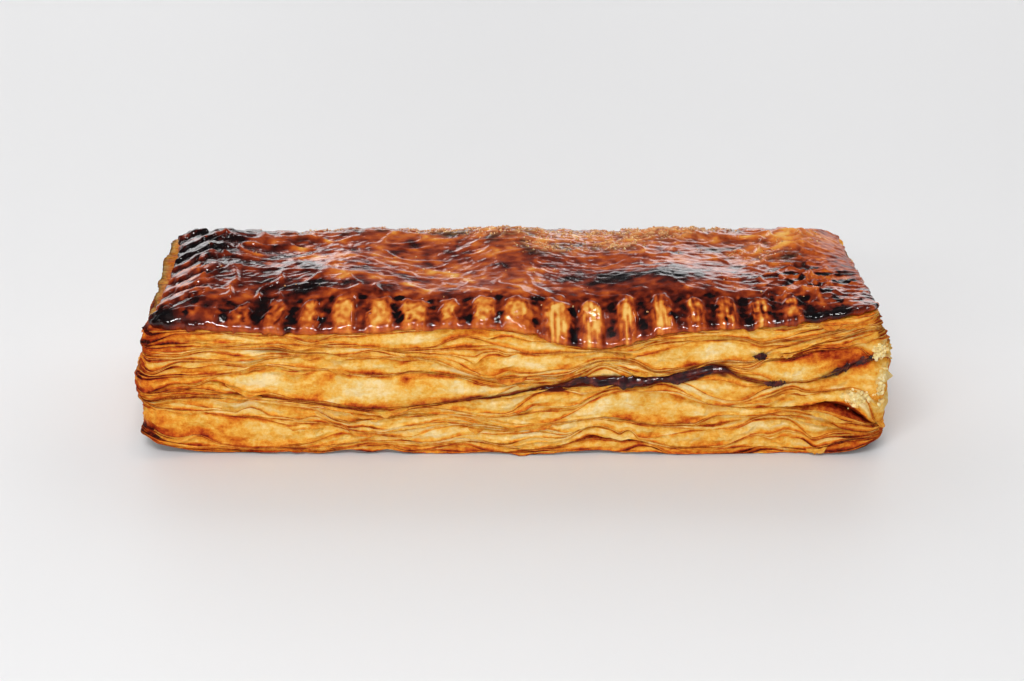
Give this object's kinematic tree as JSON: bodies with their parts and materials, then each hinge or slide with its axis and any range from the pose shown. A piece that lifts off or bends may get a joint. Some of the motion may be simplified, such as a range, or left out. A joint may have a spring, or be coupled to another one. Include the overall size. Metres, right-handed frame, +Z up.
{
  "type": "turnover pastry",
  "caption": "Long baked puff-pastry turnover with a dark glazed, fork-crimped top crust and open flaky layers all round its sides.",
  "frame": {"origin": "centre of the pastry's footprint, on the surface that it rests on", "axes": "+X along the pastry, left to right as its long front is faced; +Y from that front to the back; +Z up"},
  "size_m": [0.1547, 0.0564, 0.0328],
  "materials": {
    "flaky_layers": "dry baked puff pastry, pale faces and browned edges",
    "glazed_crust": "egg-washed and sugar-glazed crust, golden to burnt black",
    "caramel": "glaze that ran and burnt dark, glossy",
    "sugar_and_crumbs": "coarse baked sugar and pale pastry crumbs"
  },
  "bodies": {
    "root": {"pastry": "flaky_layers"}
  },
  "joints": []
}
